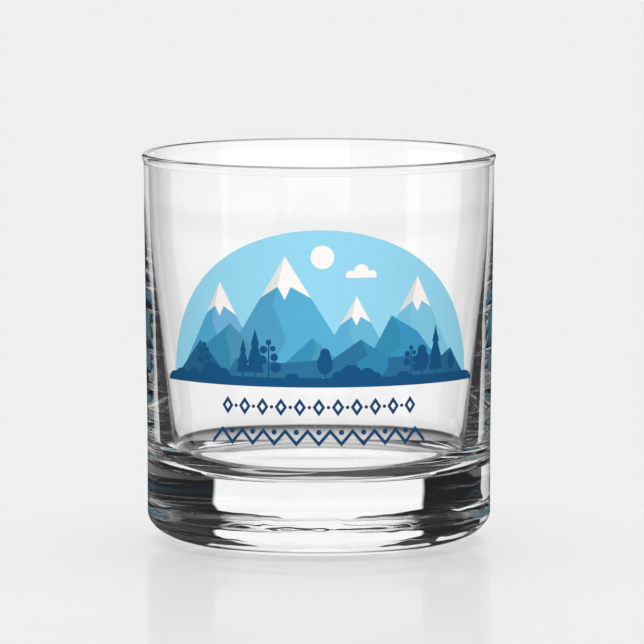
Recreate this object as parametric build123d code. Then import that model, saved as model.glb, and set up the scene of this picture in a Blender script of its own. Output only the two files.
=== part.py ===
"""Old-fashioned (rocks) tumbler with a mountain scene printed on its wall.

Millimetres. The origin is at the centre of the foot and +Z is up. The printed
picture faces -Y, with +X to its right. The glass is one moulded solid, and
every field of printed ink is a thin solid of its own on the outside of the wall.
"""
from build123d import *
import math
import os

# Glass: outside
HEIGHT = 90.9                # foot to the top of the rim
WALL_RADIUS_AT_FOOT = 39.84  # the tapered wall, carried down to the foot
WALL_TAPER = 0.01276         # growth of the wall's radius per mm of height
BASE_RADIUS = 40.14          # the short upright band above the heel
HEEL_WIDTH = 11.9            # rounded heel, across
HEEL_HEIGHT = 7.3            # rounded heel, upwards
FOOT_HOLLOW_RADIUS = 22.0    # shallow hollow under the base
FOOT_HOLLOW_DEPTH = 0.5
SHOULDER_BLEND = 500.0       # radius between the upright band and the tapered wall

# Glass: rim bead
BEAD_RADIUS = 0.8            # half the thickness of the fire-polished rim
RIM_RADIUS = 41.33           # outside of the bead
BEAD_NECK = 1.7              # height over which the wall swells into the bead

# Glass: inside
FLOOR_HEIGHT = 17.0          # thickness of the solid base
FLOOR_CORNER_RADIUS = 34.0   # where the lower wall would meet the floor
KNEE_RADIUS = 39.5           # where the upper and lower inner walls would meet
KNEE_HEIGHT = 69.0
KNEE_BLEND = 322.0           # long blend between the two inner walls
BOWL_BLEND = 8.0             # round between the inner wall and the floor

# Print: places are (s, z), with s measured around the wall from the front
INK = 0.08                   # thickness of the ink
PRINT_RADIUS = 40.5          # mean radius of the printed stretch of wall
INK_LOW = 25.0               # stretch of the wall that can carry ink
INK_HIGH = 79.0
DOME_CENTRE = 0.5
DOME_HALF_WIDTH = 39.0
DOME_HEIGHT = 34.1
GROUND_LOW = 40.2            # lower edge of the strip of ground
GROUND_HIGH = 42.4           # upper edge, where the dome of sky stands
SMALLEST_FIELD = 0.04        # mm2, the smallest patch of ink that would print


def wall_radius(z):
    """Outer radius of the tapered wall at height z."""
    return WALL_RADIUS_AT_FOOT + WALL_TAPER * z


def tumbler():
    """The glass: one profile turned about the axis."""
    bead_height = HEIGHT - BEAD_RADIUS
    neck_height = bead_height - BEAD_NECK
    neck_radius = wall_radius(neck_height)
    foot_radius = BASE_RADIUS - HEEL_WIDTH
    shoulder_height = (BASE_RADIUS - WALL_RADIUS_AT_FOOT) / WALL_TAPER
    inner_rim = RIM_RADIUS - 2 * BEAD_RADIUS
    hollow = TangentArc((0, FOOT_HOLLOW_DEPTH), (FOOT_HOLLOW_RADIUS, 0), tangent=(1, 0))
    bearing_ring = Line((FOOT_HOLLOW_RADIUS, 0), (foot_radius, 0))
    heel = EllipticalCenterArc(
        (foot_radius, HEEL_HEIGHT), HEEL_WIDTH, HEEL_HEIGHT, start_angle=-90, arc_size=90
    )
    wall = FilletPolyline(
        (BASE_RADIUS, HEEL_HEIGHT),
        (BASE_RADIUS, shoulder_height),
        (neck_radius, neck_height),
        radius=SHOULDER_BLEND,
    )
    neck = Bezier(
        (neck_radius, neck_height),
        (neck_radius, neck_height + BEAD_NECK / 2),
        (RIM_RADIUS, bead_height - BEAD_NECK / 2),
        (RIM_RADIUS, bead_height),
    )
    bead = ThreePointArc(
        (RIM_RADIUS, bead_height), (RIM_RADIUS - BEAD_RADIUS, HEIGHT), (inner_rim, bead_height)
    )
    inside = FilletPolyline(
        (inner_rim, bead_height),
        (KNEE_RADIUS, KNEE_HEIGHT),
        (FLOOR_CORNER_RADIUS, FLOOR_HEIGHT),
        (0, FLOOR_HEIGHT),
        radius=[KNEE_BLEND, BOWL_BLEND],
    )
    axis_line = Line((0, FLOOR_HEIGHT), (0, FOOT_HOLLOW_DEPTH))
    outline = hollow + bearing_ring + heel + wall + neck + bead + inside + axis_line
    return revolve(Plane.XZ * make_face(outline), Axis.Z, 360)


# ---- Outlines, drawn as seen from the front -------------------------------

def front(s, z):
    """A place on the unrolled wall, as seen from the front."""
    return (PRINT_RADIUS * math.sin(s / PRINT_RADIUS), z)


def patch(*points):
    """A straight-sided field."""
    return Polygon(*[front(s, z) for s, z in points], align=None)


def blob(s, z, width, height):
    """A round field; one near the side of the wall looks narrower."""
    foreshortening = math.cos(s / PRINT_RADIUS)
    return Pos(*front(s, z)) * Ellipse(width / 2 * foreshortening, height / 2)


def join(fields):
    """Several fields as one."""
    whole = Sketch()
    for field in fields:
        whole += field
    return whole


def above(z):
    """Everything from a height upwards."""
    return patch((-60, z), (60, z), (60, INK_HIGH), (-60, INK_HIGH))


def divide(outline, ridge):
    """Divide a hill along its ridge into its shaded left and its lit right."""
    left = patch((-60, ridge[0][1]), *ridge, (-60, ridge[-1][1]))
    return outline & left, outline - left


# ---- The picture ----------------------------------------------------------

def sky():
    """The dome of sky: half an ellipse on the unrolled wall."""
    bottom = GROUND_HIGH - 0.1
    steps = 16
    turns = [math.pi * step / steps for step in range(steps + 1)]
    edge = Spline(*[
        front(DOME_CENTRE + DOME_HALF_WIDTH * math.cos(turn), bottom + DOME_HEIGHT * math.sin(turn))
        for turn in turns
    ])
    return make_face(edge + Line(edge @ 1, edge @ 0))


def sun():
    return {"print_sun": blob(0.8, 70.2, 5.4, 5.4)}


def cloud():
    """Three lobes on a flat base."""
    s, z = 9.8, 65.4
    lobes = [
        blob(s - 2.5, z + 0.6, 2.2, 2.2),
        blob(s, z + 1.4, 3.5, 3.5),
        blob(s + 2.6, z + 0.6, 2.2, 2.2),
        patch((s - 3.4, z), (s + 3.5, z), (s + 2.6, z + 1.6), (s - 2.5, z + 1.6)),
    ]
    return {"print_cloud": join(lobes) & above(z)}


def peak(name, s, z, spread, snow):
    """A snow-capped peak: (s, z) is its top, spread its half width per mm of height."""
    drop = z - GROUND_LOW
    outline = patch((s, z), (s - spread * drop, z - drop), (s + spread * drop, z - drop))
    bends = [(0, 0), (-0.06, 0.25), (-0.09, 0.38), (-0.03, 0.52), (0.01, 0.64), (-0.06, 0.76)]
    ridge = [(s + across * drop, z - down * drop) for across, down in bends]
    ridge.append((ridge[-1][0], z - drop))
    cap = patch(
        (s, z + 1),
        (s - spread * (1.06 * snow + 1), z - 1.06 * snow),
        (s - 0.16 * snow, z - 0.7 * snow),
        (s, z - snow),
        (s + 0.14 * snow, z - 0.7 * snow),
        (s + spread * (snow + 1), z - snow),
    )
    shade, light = divide(outline, ridge)
    return {
        name + "_peak_snow_shade": shade & cap,
        name + "_peak_snow": light & cap,
        name + "_peak_shade": shade - cap,
        name + "_peak": light - cap,
    }


def hill(name, outline, ridge):
    """A hill without snow, with a shaded and a lit side."""
    shade, light = divide(patch(*outline), ridge)
    return {name + "_hill_shade": shade, name + "_hill": light}


def hills():
    """The hills in front of the peaks, the nearest first."""
    near = [(3.2, 46.8), (9.7, 51.2), (16.3, 46.9), (16.3, 44.6), (13, GROUND_LOW), (0, GROUND_LOW)]
    left = [(-27.9, 49.5), (-21.3, 54.5), (-15.6, 49.2), (-9, GROUND_LOW), (-34, GROUND_LOW)]
    centre = [(-7.8, 45.8), (-1.5, 51.7), (5.5, 45.4), (5.5, GROUND_LOW), (-7.8, GROUND_LOW)]
    right = [(8, GROUND_LOW), (17.2, 56.5), (24.1, 52.5), (27.6, 48.3), (33, 45.5), (33, GROUND_LOW)]
    fields = {
        "left_foothill": patch((-32, GROUND_LOW), (-37.8, 41.6), (-29.9, 50.2), (-20, GROUND_LOW)),
        "right_foothill": patch((31, GROUND_LOW), (31, 46.3), (34.1, 48.1), (39.2, 41.4)),
    }
    fields.update(hill("near", near, [(9.7, 52), (9.7, 51.2), (11.4, 47.5), (8.9, 46), (8.9, GROUND_LOW)]))
    fields["meadow"] = patch(
        (-24, GROUND_LOW), (-19.8, 46.5), (-16.2, 46.4), (-8.5, 45.8), (3.2, 46.8), (9, GROUND_LOW)
    )
    fields["terrace"] = patch((13, GROUND_LOW), (16.3, 44.6), (16.3, 46.9), (31, 46.9), (31, GROUND_LOW))
    fields.update(hill("left", left, [(-21.3, 55), (-22.6, 51.3), (-21.3, 48), (-21.1, GROUND_LOW)]))
    fields.update(hill("centre", centre, [(-1.5, 52), (-0.6, 48.9), (-1.7, 46.9), (-1.7, GROUND_LOW)]))
    fields.update(hill("right", right, [
        (17.2, 57), (19, 53.7), (19.4, 52.4), (19.2, 48.8), (16.8, 47.3), (16.8, GROUND_LOW)
    ]))
    return fields


def pine(s, height, width):
    """A pine: three tiers, the upper ones standing out over the next."""
    foot = GROUND_HIGH + 1
    top = foot + height
    low = foot + height * 0.26
    middle = foot + height * 0.62
    crown = patch(
        (s, top),
        (s + 0.25 * width, middle),
        (s + 0.15 * width, middle),
        (s + 0.43 * width, low),
        (s + 0.34 * width, low),
        (s + 0.5 * width, foot),
        (s - 0.5 * width, foot),
        (s - 0.34 * width, low),
        (s - 0.43 * width, low),
        (s - 0.15 * width, middle),
        (s - 0.25 * width, middle),
    )
    trunk = patch((s - 0.2, GROUND_LOW), (s + 0.2, GROUND_LOW), (s + 0.2, foot + 1), (s - 0.2, foot + 1))
    return crown + trunk


def round_tree(s, crown_height, crown_width, cap_width):
    """A tree with a round crown and a smaller round top."""
    foot = GROUND_HIGH + 0.8
    crown = blob(s, foot + crown_height / 2, crown_width, crown_height)
    cap = blob(s, foot + crown_height * 0.97, cap_width, cap_width)
    trunk = patch((s - 0.2, GROUND_LOW), (s + 0.2, GROUND_LOW), (s + 0.2, foot + 1), (s - 0.2, foot + 1))
    return crown + cap + trunk


def berry_tree(s, height):
    """A bare stem carrying round leaves, which shrink towards the top."""
    foot = GROUND_HIGH
    stem = 0.045 * height
    leaves = [(0, 0.97, 0.16), (-0.15, 0.76, 0.22), (0.12, 0.8, 0.16), (0.16, 0.56, 0.22),
              (-0.18, 0.48, 0.26), (0.2, 0.28, 0.3)]
    fields = [patch((s - stem / 2, GROUND_LOW), (s + stem / 2, GROUND_LOW),
                    (s + stem / 2, foot + 0.95 * height), (s - stem / 2, foot + 0.95 * height))]
    for across, up, size in leaves:
        fields.append(blob(s + across * height, foot + up * height, size * height, size * height))
    return join(fields)


def trees():
    """Everything that grows on the ground, in the ground's own dark ink."""
    pines = [pine(-18, 7.7, 3.3), pine(-15, 10.1, 4.4), pine(29.3, 10.3, 4.2)]
    crowns = [round_tree(1.4, 5.0, 3.6, 2.3), round_tree(25.3, 5.0, 3.7, 2.5), round_tree(34.3, 3.6, 2.2, 1.2)]
    stems = [berry_tree(-28.6, 7.0), berry_tree(-11.7, 8.3), berry_tree(22.3, 6.6)]
    return {"print_pines": join(pines), "print_round_trees": join(crowns), "print_berry_trees": join(stems)}


def ground():
    """The strip of ground with its rounded ends, and the bushes along it."""
    half_width = 41.6
    end = 2.6
    strip = [
        patch((DOME_CENTRE - half_width + end, GROUND_LOW), (DOME_CENTRE + half_width - end, GROUND_LOW),
              (DOME_CENTRE + half_width - end, GROUND_HIGH), (DOME_CENTRE - half_width + end, GROUND_HIGH))
    ]
    for side in (-1, 1):
        s = DOME_CENTRE + side * (half_width - end)
        strip.append(blob(s, GROUND_LOW, 2 * end, 2 * (GROUND_HIGH - GROUND_LOW)))
    bushes = [(-36.3, 3.2, 0.8), (-31.7, 3.2, 1.2), (-28.2, 2.6, 1.6), (-25.6, 4.0, 2.5), (-23.0, 3.2, 1.7),
              (-6.2, 3.4, 1.0), (4.6, 3.4, 1.6), (7.4, 5.6, 3.0), (11.2, 4.2, 2.2), (13.2, 3.0, 1.2),
              (20.2, 3.6, 1.1)]
    mounds = [blob(s, GROUND_HIGH, width, 2 * height) for s, width, height in bushes]
    return {
        "print_ground": join(strip) & above(GROUND_LOW),
        "print_bushes": join(mounds) & above(GROUND_LOW),
    }


# ---- Ornament under the picture -------------------------------------------

def diamond(s, z, width, height):
    """A diamond standing on its point."""
    return patch((s - width / 2, z), (s, z - height / 2), (s + width / 2, z), (s, z + height / 2))


def diamond_row(z, width, height, pitch, count):
    """Open diamonds with a dot between each two."""
    opening = 0.45
    fields = []
    for place in range(count):
        s = (place - (count - 1) / 2) * pitch
        hole = diamond(s, z, opening * width, opening * height)
        fields.append(diamond(s, z, width, height) - hole)
        if place < count - 1:
            fields.append(blob(s + pitch / 2, z, 0.2 * height, 0.2 * height))
    return join(fields)


def zigzag_row(z, height, pitch, count, stroke):
    """A zigzag line with a dot in each valley."""
    half_span = count * pitch / 2
    top = [(place * pitch / 2 - half_span, z + (-1) ** place * (stroke - height) / 2)
           for place in range(2 * count + 1)]
    upper = [(s, level + stroke / 2) for s, level in top]
    lower = [(s, level - stroke / 2) for s, level in reversed(top)]
    fields = [patch(*upper, *lower)]
    for place in range(count - 1):
        s = (place + 1) * pitch - half_span
        fields.append(blob(s, z + 0.3 * height, 0.3 * height, 0.3 * height))
    return join(fields)


def ornament():
    return {
        "print_diamond_row": diamond_row(z=35.6, width=2.9, height=4.1, pitch=4.4, count=11),
        "print_zigzag_row": zigzag_row(z=28.6, height=4.1, pitch=5.2, count=10, stroke=1.1),
    }


# ---- Ink on the wall ------------------------------------------------------

def landscape():
    """Every field of the picture, the nearest first, before any hides another."""
    fields = {}
    fields.update(ground())
    fields.update(trees())
    inside_sky = hills()
    for top in (
        ("main", -7.9, 70.4, 0.635, 10.1),
        ("far_left", -24.2, 63.9, 0.56, 7.9),
        ("middle", 8.7, 61.2, 0.57, 6.8),
        ("far_right", 24.0, 65.3, 0.57, 8.2),
    ):
        inside_sky.update(peak(*top))
    backdrop = sky()
    for name, outline in inside_sky.items():
        fields["print_" + name] = outline & backdrop
    fields.update(sun())
    fields.update(cloud())
    fields["print_sky"] = backdrop
    return fields


def printable(outline):
    """A field without the specks that are too small to print."""
    return join([face for face in outline.faces() if face.area > SMALLEST_FIELD])


def uncovered(fields):
    """What is left of each field outside the ones in front of it."""
    covered = Sketch()
    for name, outline in fields.items():
        yield name, printable(outline - covered)
        covered += outline


def ink_shell():
    """A skin of ink's thickness around the printed stretch of the wall."""
    low, high = wall_radius(INK_LOW), wall_radius(INK_HIGH)
    section = Polygon(
        (low, INK_LOW), (low + INK, INK_LOW), (high + INK, INK_HIGH), (high, INK_HIGH), align=None
    )
    return revolve(Plane.XZ * section, Axis.Z, 360)


def main():
    os.makedirs("parts", exist_ok=True)
    export_step(tumbler(), "parts/tumbler.step")
    shell = ink_shell()
    prints = dict(uncovered(landscape()))
    prints.update(ornament())
    for name, outline in prints.items():
        ink = extrude(Plane.XZ * outline, amount=2 * BASE_RADIUS, dir=(0, -1, 0)) & shell
        export_step(ink, "parts/" + name + ".step")


main()
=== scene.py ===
"""Clear heavy-base rocks glass with a printed mountain scene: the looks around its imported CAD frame."""
import math

import bmesh
import bpy
from mathutils import Matrix, Vector, noise


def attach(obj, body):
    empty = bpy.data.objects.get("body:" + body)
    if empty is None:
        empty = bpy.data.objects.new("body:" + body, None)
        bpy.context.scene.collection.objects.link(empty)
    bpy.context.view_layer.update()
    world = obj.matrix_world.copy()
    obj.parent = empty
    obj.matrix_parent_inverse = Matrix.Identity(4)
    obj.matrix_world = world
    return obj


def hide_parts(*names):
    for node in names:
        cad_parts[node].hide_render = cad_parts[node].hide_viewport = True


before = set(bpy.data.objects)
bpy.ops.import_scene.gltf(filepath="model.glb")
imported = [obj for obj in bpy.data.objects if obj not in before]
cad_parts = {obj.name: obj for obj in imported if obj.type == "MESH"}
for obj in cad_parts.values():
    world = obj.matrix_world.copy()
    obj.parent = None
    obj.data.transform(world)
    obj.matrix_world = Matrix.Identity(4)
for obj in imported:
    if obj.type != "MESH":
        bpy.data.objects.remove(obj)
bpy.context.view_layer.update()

MM = 0.001

# Glass, in millimetres: the same form as the CAD tumbler
HEIGHT = 90.9
WALL_RADIUS_AT_FOOT = 39.84   # the tapered wall, carried down to the foot
WALL_TAPER = 0.01276          # growth of the wall's radius per mm of height
BASE_RADIUS = 40.14           # short upright band above the heel
HEEL_WIDTH = 11.9
HEEL_HEIGHT = 7.3
FOOT_HOLLOW_RADIUS = 22.0
FOOT_HOLLOW_DEPTH = 0.5
SHOULDER_BLEND = 500.0        # radius between the upright band and the tapered wall
BEAD_RADIUS = 0.8
RIM_RADIUS = 41.33
BEAD_NECK = 1.7               # height over which the wall swells into the bead
FLOOR_HEIGHT = 17.0           # of the floor of the bowl
FLOOR_CORNER_RADIUS = 34.0
KNEE_RADIUS = 39.5
KNEE_HEIGHT = 69.0
KNEE_BLEND = 322.0
BOWL_BLEND = 8.0
SIDES = 288                   # facets around the glass

# Unevenness of pressed glass, in millimetres: how far it swells, and how long and how tall each swelling is
HEEL_RIPPLE = (0.04, 3.4, 1.0)
WALL_WAVE = (0.008, 16.0, 22.0)
FLOOR_WAVE = (0.012, 7.0, 7.0)
RIPPLE_BAND = (1.2, 3.0, 8.5, 11.5)  # heights where the ripple starts, is full, starts to fade and ends
STILL_RIM = 6.0               # the wall's wave fades over this height below the rim
FLOOR_FADE = 1.0              # and the floor's wave over this height below the floor of the bowl
GLASS_CLOUD = 9.0             # size of the duller and brighter places
GLASS_ROUGHNESS = (0.0, 0.012)
GLASS_GRAIN = 2.4             # size of the finest unevenness
GLASS_RELIEF = 0.0007         # and its height
GLASS_IOR = 1.5

# Ink, in millimetres: a skin that the wall's surface runs through
INK_OUT = 0.05                # how far the ink stands out of the wall
INK_IN = 0.03                 # how far it is set into the wall
INK_STEP = math.radians(1.5)  # widest facet around the wall
SAME_POINT = 0.01             # corners closer than this are one corner
ALONG_RADIUS = 0.5            # cosine above which a face looks along the glass's radius
ON_THE_CUT = 1e-7             # metres; a corner this close to a cut is on it
INK_CLOUD = 0.9               # size of its thin and thick places
INK_GRAIN = 0.25              # size of the eggshell grain
INK_RELIEF = 0.01             # height of the grain
INK_ROUGHNESS = (0.38, 0.52)
INK_GLOSS = 0.3
THIN_INK = 1.025              # share of the colour's brightness where the ink is thin
THICK_INK = 0.975             # and where it is thick

# Tall panels of light: (bearing clockwise from +Y, tip down, top, share of full width), angles in degrees.
# They stand behind the glass as it is seen from the front, right, rear left, back and front right.
# None stands behind it as it is seen from the left or from high above, so there the glass looks dark.
FRONT_PANEL = (0, 0, 90)      # its share depends on the ray
OTHER_PANELS = ((-90, -3, 12, 1), (135, 9, 5, 1), (180, 5, 2, 0.8), (-48, 19, -21, 0.45))
MIRRORED_SHARE = 0.35         # share of the front panel's width that the glass mirrors
LIGHT_EDGE = 0.8              # half the width of a panel's soft edge, in degrees

# Stops are (elevation in degrees, number): tones, or a panel's half-width as a share of 90 degrees
PANEL_SHAPE = (
    (-60, 0.2), (-42, 0.2), (-34, 0.12), (-30, 0.12), (-22, 0.22), (-14, 0.295), (12, 0.295), (22, 0.11),
    (90, 0.11),
)
PANEL_TONES = (
    (-75, 0.04), (-68, 0.6), (-55, 0.62), (-44, 0.5), (-38, 0.36), (-34, 0.12), (-31, 0.06), (-29, 0.8),
    (-20, 0.88), (-13, 0.91), (-8.5, 0.95), (-7.5, 0.88), (-7.1, 0.89), (-6.4, 0.96), (-5, 0.95), (0, 0.93),
    (12, 0.91), (90, 0.88),
)
ROOM_TONES = ((-60, 0.06), (-20, 0.05), (-12, 0.015), (20, 0.015), (40, 0.03))

# Round light overhead, and the brightness of everything
OVERHEAD_TILT = 7.5           # degrees towards +Y
OVERHEAD_RADIUS = 39.0        # degrees
OVERHEAD_TONE = 0.9
LIGHT_STRENGTH = 1.08
BACKDROP_TONE = 0.768         # what the camera sees beyond the floor, before the painted reflection of the panels is added
BACKDROP_PAINTED_REFLECTION = 0.098        # painted reflection: share of a panel's light added to the backdrop where the floor would mirror it
KEY_STRENGTH = 2.45
KEY_DIRECTION = (0, 1, -0.8)
FILL_STRENGTH = 0.5
FILL_DIRECTION = (0, -1, -0.35)
SOFTNESS = 60                 # degrees that the key and fill lights spread over

# Floor and camera, in metres
FLOOR_REACH = 12
FLOOR_GAP = 0.0002            # keeps the floor clear of the foot
FLOOR_TONE = 0.925
FLOOR_POLISH = 0.13           # share of the floor's light that is mirrored
FLOOR_ROUGHNESS = 0.12
CAMERA_LENS = 478.8           # mm, on a 36 mm sensor
CAMERA_PIVOT = (0, 0, 0.045)  # the camera stands this far up and away from here
CAMERA_DISTANCE = 2.0
CAMERA_ELEVATION = 6.13       # degrees
CAMERA_TARGET = (0.00072, 0, 0.0511)
BOUNCES = 32


# ---- Surface detail --------------------------------------------------------

def add_noise(tree, size, detail=2.0):
    """A number that wanders over the surface, with features of about this size in mm."""
    texture = tree.nodes.new("ShaderNodeTexNoise")
    texture.inputs["Scale"].default_value = 1 / (size * MM)
    texture.inputs["Detail"].default_value = detail
    tree.links.new(tree.nodes.new("ShaderNodeTexCoord").outputs["Object"], texture.inputs["Vector"])
    return texture.outputs[0]


def add_range(tree, number, low, high):
    """The middle half of a 0 to 1 number, stretched to run from low to high."""
    stretch = tree.nodes.new("ShaderNodeMapRange")
    stretch.inputs["From Min"].default_value = 0.25
    stretch.inputs["From Max"].default_value = 0.75
    stretch.inputs["To Min"].default_value = low
    stretch.inputs["To Max"].default_value = high
    tree.links.new(number, stretch.inputs["Value"])
    return stretch.outputs[0]


def add_bump(tree, number, height):
    """A surface normal for a number that stands for this height in mm."""
    bump = tree.nodes.new("ShaderNodeBump")
    bump.inputs["Distance"].default_value = height * MM
    tree.links.new(number, bump.inputs["Height"])
    return bump.outputs[0]


# ---- Glass -----------------------------------------------------------------

def wall_radius(z):
    """Outer radius of the tapered wall at height z."""
    return WALL_RADIUS_AT_FOOT + WALL_TAPER * z


def ease(t):
    """From 0 to 1, starting and ending gently."""
    return t * t * (3 - 2 * t)


def straight(start, end, steps):
    """Points along a straight, without its last."""
    return [tuple(Vector(start).lerp(Vector(end), i / steps)) for i in range(steps)]


def ellipse_arc(centre, across, up, first, last, steps):
    """Points along part of an ellipse between two angles in degrees, without its last."""
    points = []
    for i in range(steps):
        turn = math.radians(first + (last - first) * i / steps)
        points.append((centre[0] + across * math.cos(turn), centre[1] + up * math.sin(turn)))
    return points


def s_bend(start, end, steps):
    """Points of a smooth swelling between two upright ends, without its last."""
    points = []
    for i in range(steps):
        t = i / steps
        points.append((start[0] + (end[0] - start[0]) * ease(t), start[1] + (end[1] - start[1]) * t))
    return points


def rounded(before, corner, after, radius, steps):
    """Points of the round that takes the place of a corner."""
    corner = Vector(corner)
    towards_before = (Vector(before) - corner).normalized()
    towards_after = (Vector(after) - corner).normalized()
    half = towards_before.angle(towards_after) / 2
    centre = corner + (towards_before + towards_after).normalized() * (radius / math.sin(half))
    first = corner + towards_before * (radius / math.tan(half)) - centre
    last = corner + towards_after * (radius / math.tan(half)) - centre
    sweep = math.atan2(first.x * last.y - first.y * last.x, first.dot(last))
    return [tuple(centre + Matrix.Rotation(sweep * i / steps, 2) @ first) for i in range(steps + 1)]


def foot_hollow(steps):
    """Points of the shallow hollow under the base, from beside the axis to beside its edge."""
    sphere = (FOOT_HOLLOW_RADIUS ** 2 + FOOT_HOLLOW_DEPTH ** 2) / (2 * FOOT_HOLLOW_DEPTH)
    points = []
    for i in range(1, steps):
        r = FOOT_HOLLOW_RADIUS * i / steps
        points.append((r, FOOT_HOLLOW_DEPTH - sphere + math.sqrt(sphere ** 2 - r ** 2)))
    return points


def outside_profile(bead_height):
    """The outline from the hollow under the base, up the outside, to the outside of the bead."""
    foot_radius = BASE_RADIUS - HEEL_WIDTH
    heel_top = (BASE_RADIUS, HEEL_HEIGHT)
    shoulder = (BASE_RADIUS, (BASE_RADIUS - WALL_RADIUS_AT_FOOT) / WALL_TAPER)
    neck = (wall_radius(bead_height - BEAD_NECK), bead_height - BEAD_NECK)
    shoulder_round = rounded(heel_top, shoulder, neck, SHOULDER_BLEND, steps=6)
    points = foot_hollow(steps=24)
    points += straight((FOOT_HOLLOW_RADIUS, 0), (foot_radius, 0), steps=6)
    points += ellipse_arc((foot_radius, HEEL_HEIGHT), HEEL_WIDTH, HEEL_HEIGHT, -90, 0, steps=36)
    points += straight(heel_top, shoulder_round[0], steps=10)
    points += shoulder_round
    points += straight(shoulder_round[-1], neck, steps=40)[1:]
    points += s_bend(neck, (RIM_RADIUS, bead_height), steps=10)
    return points


def inside_profile(bead_height):
    """The outline from the inside of the bead down to the middle of the floor."""
    inner_rim = (RIM_RADIUS - 2 * BEAD_RADIUS, bead_height)
    knee = (KNEE_RADIUS, KNEE_HEIGHT)
    floor_corner = (FLOOR_CORNER_RADIUS, FLOOR_HEIGHT)
    middle = (0, FLOOR_HEIGHT)
    knee_round = rounded(inner_rim, knee, floor_corner, KNEE_BLEND, steps=30)
    bowl_round = rounded(knee, floor_corner, middle, BOWL_BLEND, steps=36)
    points = straight(inner_rim, knee_round[0], steps=6)
    points += knee_round
    points += straight(knee_round[-1], bowl_round[0], steps=20)[1:]
    points += bowl_round
    points += straight(bowl_round[-1], middle, steps=20)[1:]
    return points


def glass_profile():
    """The glass's outline from the middle of the hollow, up the outside and down to the floor."""
    bead_height = HEIGHT - BEAD_RADIUS
    bead = ellipse_arc((RIM_RADIUS - BEAD_RADIUS, bead_height), BEAD_RADIUS, BEAD_RADIUS, 0, 180, steps=20)
    return outside_profile(bead_height) + bead + inside_profile(bead_height)


def turned(name, profile, middle_start, middle_end):
    """A closed mesh: a profile turned about the axis, closed by a point on the axis at each end."""
    mesh = bpy.data.meshes.new(name)
    shape = bmesh.new()
    rings = []
    for r, z in profile:
        ring = []
        for i in range(SIDES):
            turn = 2 * math.pi * i / SIDES
            ring.append(shape.verts.new((r * MM * math.cos(turn), r * MM * math.sin(turn), z * MM)))
        rings.append(ring)
    first = shape.verts.new((0, 0, middle_start * MM))
    last = shape.verts.new((0, 0, middle_end * MM))
    for low, high in zip(rings, rings[1:]):
        for i in range(SIDES):
            j = (i + 1) % SIDES
            shape.faces.new((low[i], low[j], high[j], high[i]))
    for i in range(SIDES):
        j = (i + 1) % SIDES
        shape.faces.new((first, rings[0][j], rings[0][i]))
        shape.faces.new((last, rings[-1][i], rings[-1][j]))
    bmesh.ops.recalc_face_normals(shape, faces=shape.faces)
    shape.to_mesh(mesh)
    shape.free()
    mesh.shade_smooth()
    piece = bpy.data.objects.new(name, mesh)
    bpy.context.scene.collection.objects.link(piece)
    return piece


def swell(place, size):
    """How far the surface stands out or in at a place, for a size of unevenness."""
    height, length, tall = size
    return height * noise.noise((place.x / length, place.y / length, place.z / tall))


def fade(value, start, full):
    """0 before the start, 1 from full on, and smooth between; it also runs backwards."""
    return ease(min(max((value - start) / (full - start), 0), 1))


def press(mesh):
    """Make the surface wander as pressed glass does: finely around the heel, faintly elsewhere."""
    starts, full, fades, ends = RIPPLE_BAND
    directions = [vert.normal.copy() for vert in mesh.vertices]
    for vert, direction in zip(mesh.vertices, directions):
        place = vert.co / MM
        rippled = fade(place.z, starts, full) * fade(place.z, ends, fades)
        on_wall = fade(place.z, ends, HEIGHT / 2) * fade(place.z, HEIGHT, HEIGHT - STILL_RIM)
        inside = fade(math.hypot(place.x, place.y), WALL_RADIUS_AT_FOOT, FLOOR_CORNER_RADIUS)
        on_floor = inside * fade(place.z, FLOOR_HEIGHT - FLOOR_FADE, FLOOR_HEIGHT)
        offset = rippled * swell(place, HEEL_RIPPLE)
        offset += on_wall * swell(place, WALL_WAVE)
        offset += on_floor * swell(place, FLOOR_WAVE)
        vert.co += direction * offset * MM
    mesh.update()


def clear_glass():
    """Soda-lime glass: clear, with the faint unevenness of a pressed and fire-polished surface."""
    material = bpy.data.materials.new("clear_glass")
    material.use_nodes = True
    tree = material.node_tree
    shader = tree.nodes["Principled BSDF"]
    shader.inputs["Base Color"].default_value = (1, 1, 1, 1)
    shader.inputs["IOR"].default_value = GLASS_IOR
    shader.inputs["Transmission Weight"].default_value = 1.0
    roughness = add_range(tree, add_noise(tree, GLASS_CLOUD), *GLASS_ROUGHNESS)
    tree.links.new(roughness, shader.inputs["Roughness"])
    relief = add_bump(tree, add_noise(tree, GLASS_GRAIN), GLASS_RELIEF)
    tree.links.new(relief, shader.inputs["Normal"])
    return material


def make_glass():
    piece = turned("glass_body", glass_profile(), FOOT_HOLLOW_DEPTH, FLOOR_HEIGHT)
    press(piece.data)
    piece.data.materials.append(clear_glass())
    piece.visible_shadow = False
    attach(piece, "root")
    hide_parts("tumbler")


# ---- Ink -------------------------------------------------------------------

def srgb(red, green, blue):
    """A colour in scene-linear numbers, from 0 to 255 sRGB ones."""
    def linear(value):
        value /= 255
        return value / 12.92 if value <= 0.04045 else ((value + 0.055) / 1.055) ** 2.4
    return (linear(red), linear(green), linear(blue))


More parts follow.
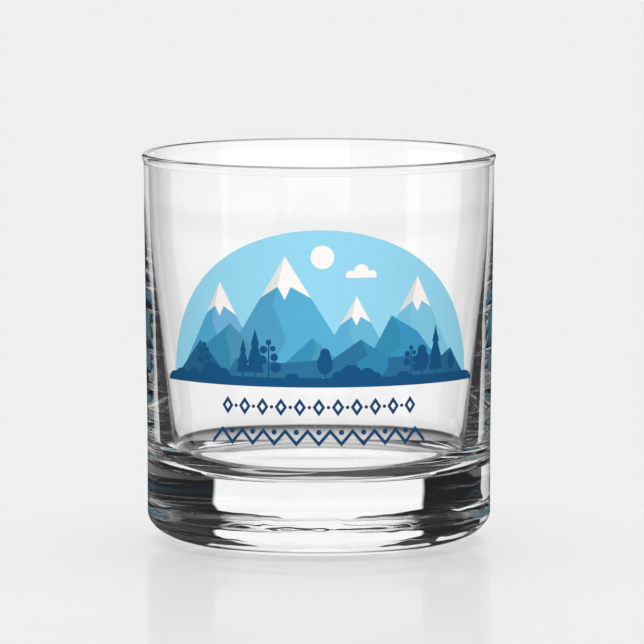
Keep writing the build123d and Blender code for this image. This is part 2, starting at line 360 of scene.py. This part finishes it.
NAVY = srgb(12, 84, 134)
DEEP_NAVY = srgb(22, 70, 112)
SNOW = srgb(252, 247, 244)
SNOW_SHADE = srgb(222, 226, 220)
INK_COLOURS = {
    "print_ground": NAVY, "print_bushes": NAVY, "print_pines": NAVY, "print_round_trees": NAVY,
    "print_berry_trees": NAVY, "print_diamond_row": DEEP_NAVY, "print_zigzag_row": DEEP_NAVY,
    "print_sky": srgb(150, 217, 240), "print_sun": SNOW, "print_cloud": SNOW,
    "print_left_foothill": srgb(25, 102, 142), "print_right_foothill": srgb(25, 108, 148),
    "print_meadow": srgb(42, 115, 156), "print_terrace": srgb(37, 111, 155),
    "print_near_hill_shade": srgb(39, 117, 156), "print_near_hill": srgb(43, 136, 180),
    "print_left_hill_shade": srgb(48, 140, 177), "print_left_hill": srgb(73, 149, 183),
    "print_centre_hill_shade": srgb(52, 146, 184), "print_centre_hill": srgb(73, 156, 189),
    "print_right_hill_shade": srgb(49, 143, 179), "print_right_hill": srgb(54, 151, 196),
    "print_main_peak_shade": srgb(78, 160, 197), "print_main_peak": srgb(86, 176, 213),
    "print_far_left_peak_shade": srgb(76, 168, 208), "print_far_left_peak": srgb(111, 180, 219),
    "print_middle_peak_shade": srgb(89, 175, 215), "print_middle_peak": srgb(103, 185, 216),
    "print_far_right_peak_shade": srgb(117, 194, 224), "print_far_right_peak": srgb(128, 202, 227),
}


def ink_colour(node):
    if node.endswith("_snow_shade"):
        return SNOW_SHADE
    if node.endswith("_snow"):
        return SNOW
    return INK_COLOURS[node]


def ink_material(name, colour):
    """Screen-printed enamel: satin, a little thicker here and thinner there, with a fine eggshell skin."""
    material = bpy.data.materials.new(name)
    material.use_nodes = True
    tree = material.node_tree
    shader = tree.nodes["Principled BSDF"]
    shader.inputs["Specular IOR Level"].default_value = INK_GLOSS
    thickness = add_range(tree, add_noise(tree, INK_CLOUD, detail=6.0), 0, 1)
    tint = tree.nodes.new("ShaderNodeMixRGB")
    tint.inputs["Color1"].default_value = (*[channel * THIN_INK for channel in colour], 1)
    tint.inputs["Color2"].default_value = (*[channel * THICK_INK for channel in colour], 1)
    tree.links.new(thickness, tint.inputs["Fac"])
    tree.links.new(tint.outputs["Color"], shader.inputs["Base Color"])
    tree.links.new(add_range(tree, add_noise(tree, INK_CLOUD), *INK_ROUGHNESS), shader.inputs["Roughness"])
    grain = add_noise(tree, INK_GRAIN, detail=3.0)
    tree.links.new(add_bump(tree, grain, INK_RELIEF), shader.inputs["Normal"])
    return material


def outward(point):
    """The direction away from the axis at a point."""
    return Vector((point.x, point.y, 0)).normalized()


def set_radius(vert, radius):
    """Move a corner along its radius of the glass."""
    share = radius / math.hypot(vert.co.x, vert.co.y)
    vert.co.x *= share
    vert.co.y *= share


def keep_outer_side(shape):
    """Leave only the faces that look away from the axis."""
    inner = []
    for face in shape.faces:
        if face.normal.dot(outward(face.calc_center_median())) <= ALONG_RADIUS:
            inner.append(face)
    bmesh.ops.delete(shape, geom=inner, context="FACES")


def facet_finely(shape):
    """Cut the faces at every INK_STEP around the wall, so that they can follow it."""
    turns = [math.atan2(vert.co.x, -vert.co.y) for vert in shape.verts]
    first = math.floor(min(turns) / INK_STEP) + 1
    last = math.ceil(max(turns) / INK_STEP)
    for i in range(first, last):
        turn = i * INK_STEP
        across = (math.cos(turn), math.sin(turn), 0)
        geometry = shape.verts[:] + shape.edges[:] + shape.faces[:]
        bmesh.ops.bisect_plane(shape, geom=geometry, dist=ON_THE_CUT, plane_co=(0, 0, 0), plane_no=across)


def shade_round(mesh):
    """Shade a film's two broad sides as the round wall that they follow, and its rims flat."""
    normals = []
    for face in mesh.polygons:
        for vert in face.vertices:
            away = outward(mesh.vertices[vert].co)
            facing = face.normal.dot(away)
            if abs(facing) > ALONG_RADIUS:
                normals.append(away * math.copysign(1, facing))
            else:
                normals.append(face.normal)
    mesh.shade_smooth()
    mesh.normals_split_custom_set(normals)


def ink_skin(node):
    """The field of ink that a CAD node stands for, bent closely to the wall."""
    shape = bmesh.new()
    shape.from_mesh(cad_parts[node].data)
    bmesh.ops.remove_doubles(shape, verts=shape.verts, dist=SAME_POINT * MM)
    keep_outer_side(shape)
    facet_finely(shape)
    for vert in shape.verts:
        set_radius(vert, (wall_radius(vert.co.z / MM) + INK_OUT) * MM)
    top = shape.faces[:]
    bmesh.ops.recalc_face_normals(shape, faces=top)
    grown = bmesh.ops.extrude_face_region(shape, geom=top)
    for item in grown["geom"]:
        if isinstance(item, bmesh.types.BMVert):
            set_radius(item, math.hypot(item.co.x, item.co.y) - (INK_OUT + INK_IN) * MM)
    bmesh.ops.recalc_face_normals(shape, faces=shape.faces)
    mesh = bpy.data.meshes.new(node.replace("print_", "ink_"))
    shape.to_mesh(mesh)
    shape.free()
    shade_round(mesh)
    piece = bpy.data.objects.new(mesh.name, mesh)
    bpy.context.scene.collection.objects.link(piece)
    return piece


def make_ink():
    for node in sorted(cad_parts):
        if not node.startswith("print_"):
            continue
        piece = ink_skin(node)
        piece.data.materials.append(ink_material(piece.name, ink_colour(node)))
        piece.visible_shadow = False
        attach(piece, "root")
        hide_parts(node)


# ---- Stage, light and camera -----------------------------------------------

def make_floor():
    """A pale, faintly polished floor; the glass neither mirrors it nor shows it through."""
    mesh = bpy.data.meshes.new("floor")
    corners = [(x * FLOOR_REACH, y * FLOOR_REACH, 0) for x, y in ((-1, -1), (1, -1), (1, 1), (-1, 1))]
    mesh.from_pydata(corners, [], [(0, 1, 2, 3)])
    floor = bpy.data.objects.new("floor", mesh)
    floor.location.z = -FLOOR_GAP
    bpy.context.scene.collection.objects.link(floor)
    material = bpy.data.materials.new("pale_floor")
    material.use_nodes = True
    tree = material.node_tree
    matt = tree.nodes.new("ShaderNodeBsdfDiffuse")
    matt.inputs["Color"].default_value = (FLOOR_TONE, FLOOR_TONE, FLOOR_TONE, 1)
    polish = tree.nodes.new("ShaderNodeBsdfAnisotropic")
    polish.inputs["Roughness"].default_value = FLOOR_ROUGHNESS
    both = tree.nodes.new("ShaderNodeMixShader")
    both.inputs["Fac"].default_value = FLOOR_POLISH
    tree.links.new(matt.outputs[0], both.inputs[1])
    tree.links.new(polish.outputs[0], both.inputs[2])
    tree.links.new(both.outputs[0], tree.nodes["Material Output"].inputs["Surface"])
    mesh.materials.append(material)
    floor.visible_transmission = False
    floor.visible_glossy = False


def add_math(tree, operation, first, second=0.0):
    """A Math node's output; an input is a number or another node's output."""
    node = tree.nodes.new("ShaderNodeMath")
    node.operation = operation
    for socket, value in zip(node.inputs, (first, second)):
        if isinstance(value, (int, float)):
            socket.default_value = value
        else:
            tree.links.new(value, socket)
    return node.outputs[0]


def add_ramp(tree, elevation, stops):
    """A number from 0 to 1 that runs through (elevation in degrees, number) stops."""
    ramp = tree.nodes.new("ShaderNodeValToRGB")
    height = add_math(tree, "DIVIDE", add_math(tree, "ADD", elevation, 90), 180)
    tree.links.new(height, ramp.inputs[0])
    stages = ramp.color_ramp.elements
    while len(stages) < len(stops):
        stages.new(0.5)
    for stage, (degrees, number) in zip(stages, stops):
        stage.position = (degrees + 90) / 180
        stage.color = (number, number, number, 1)
    return ramp.outputs[0]


def add_edge(tree, inside):
    """1 where a number of degrees is well inside an edge, 0 outside it, soft between."""
    edge = tree.nodes.new("ShaderNodeMapRange")
    edge.interpolation_type = "SMOOTHSTEP"
    edge.inputs["From Min"].default_value = -LIGHT_EDGE
    edge.inputs["From Max"].default_value = LIGHT_EDGE
    tree.links.new(inside, edge.inputs["Value"])
    return edge.outputs[0]


def add_angle(tree, direction, towards):
    """The angle in degrees between two directions."""
    product = tree.nodes.new("ShaderNodeVectorMath")
    product.operation = "DOT_PRODUCT"
    tree.links.new(direction, product.inputs[0])
    product.inputs[1].default_value = towards
    return add_math(tree, "MULTIPLY", add_math(tree, "ARCCOSINE", product.outputs["Value"]), math.degrees(1))


def add_heading(tree, direction):
    """A direction without its rise or fall."""
    flat = tree.nodes.new("ShaderNodeVectorMath")
    flat.operation = "MULTIPLY"
    tree.links.new(direction, flat.inputs[0])
    flat.inputs[1].default_value = (1, 1, 0)
    heading = tree.nodes.new("ShaderNodeVectorMath")
    heading.operation = "NORMALIZE"
    tree.links.new(flat.outputs[0], heading.inputs[0])
    return heading.outputs[0]


def add_panel(tree, heading, elevation, bearing, tip, top, share):
    """The brightness of a tall lit panel that narrows towards its foot and its head."""
    turn = math.radians(bearing)
    aside = add_angle(tree, heading, (math.sin(turn), math.cos(turn), 0))
    level = add_math(tree, "ADD", elevation, tip)
    full = add_math(tree, "MULTIPLY", add_ramp(tree, level, PANEL_SHAPE), 90)
    half_width = add_math(tree, "MULTIPLY", full, share)
    across = add_edge(tree, add_math(tree, "SUBTRACT", half_width, aside))
    below_top = add_edge(tree, add_math(tree, "SUBTRACT", top, elevation))
    covered = add_math(tree, "MULTIPLY", across, below_top)
    return add_math(tree, "MULTIPLY", covered, add_ramp(tree, level, PANEL_TONES))


def add_overhead(tree, direction):
    """The brightness of the round light overhead."""
    tilt = math.radians(OVERHEAD_TILT)
    off_centre = add_angle(tree, direction, (0, math.sin(tilt), math.cos(tilt)))
    covered = add_edge(tree, add_math(tree, "SUBTRACT", OVERHEAD_RADIUS, off_centre))
    return add_math(tree, "MULTIPLY", covered, OVERHEAD_TONE)


def make_world():
    """Tall white panels and a round light overhead; only refracted rays see a panel besides the front one.
    Beyond the floor the camera sees a pale backdrop with a painted reflection of the panels.
    """
    world = bpy.data.worlds.new("studio")
    world.use_nodes = True
    bpy.context.scene.world = world
    tree = world.node_tree
    direction = tree.nodes.new("ShaderNodeTexCoord").outputs["Generated"]
    elevation = add_math(tree, "SUBTRACT", 90, add_angle(tree, direction, (0, 0, 1)))
    heading = add_heading(tree, direction)
    path = tree.nodes.new("ShaderNodeLightPath")
    refracted = path.outputs["Is Transmission Ray"]
    front_share = add_math(tree, "MAXIMUM", refracted, MIRRORED_SHARE)
    front = add_panel(tree, heading, elevation, *FRONT_PANEL, front_share)
    lit = add_math(tree, "MAXIMUM", add_ramp(tree, elevation, ROOM_TONES), front)
    for place in OTHER_PANELS:
        panel = add_panel(tree, heading, elevation, *place)
        lit = add_math(tree, "MAXIMUM", lit, add_math(tree, "MULTIPLY", panel, refracted))
    lit = add_math(tree, "MAXIMUM", lit, add_overhead(tree, direction))
    lit = add_math(tree, "MULTIPLY", lit, LIGHT_STRENGTH)
    seen = path.outputs["Is Camera Ray"]
    # Painted reflection: the backdrop beyond the floor is brightened by a share of the panels' light, as if
    # the floor mirrored them there
    beyond = add_math(tree, "ADD", add_math(tree, "MULTIPLY", lit, BACKDROP_PAINTED_REFLECTION), BACKDROP_TONE)
    beyond = add_math(tree, "MULTIPLY", beyond, seen)
    around = add_math(tree, "MULTIPLY", lit, add_math(tree, "SUBTRACT", 1, seen))
    tree.links.new(add_math(tree, "ADD", beyond, around), tree.nodes["Background"].inputs["Color"])


def make_light(name, strength, direction):
    """A broad soft light for the print and the floor; the glass doesn't mirror it."""
    data = bpy.data.lights.new(name, "SUN")
    data.energy = strength
    data.angle = math.radians(SOFTNESS)
    light = bpy.data.objects.new(name, data)
    light.rotation_euler = Vector(direction).to_track_quat("-Z", "Y").to_euler()
    light.visible_glossy = False
    light.visible_transmission = False
    bpy.context.scene.collection.objects.link(light)


def make_camera():
    data = bpy.data.cameras.new("camera")
    data.lens = CAMERA_LENS
    data.sensor_width = 36
    camera = bpy.data.objects.new("camera", data)
    bpy.context.scene.collection.objects.link(camera)
    elevation = math.radians(CAMERA_ELEVATION)
    away = Vector((0, -math.cos(elevation), math.sin(elevation)))
    camera.location = Vector(CAMERA_PIVOT) + CAMERA_DISTANCE * away
    aim = Vector(CAMERA_TARGET) - camera.location
    camera.rotation_euler = aim.to_track_quat("-Z", "Y").to_euler()
    bpy.context.scene.camera = camera


def set_light_paths():
    """Let light pass through and around inside the glass often enough to come out."""
    cycles = bpy.context.scene.cycles
    cycles.max_bounces = BOUNCES
    cycles.transmission_bounces = BOUNCES
    cycles.glossy_bounces = BOUNCES


make_glass()
make_ink()
make_floor()
make_world()
make_light("key", KEY_STRENGTH, KEY_DIRECTION)
make_light("fill", FILL_STRENGTH, FILL_DIRECTION)
make_camera()
set_light_paths()
bpy.context.scene.view_settings.view_transform = "Standard"
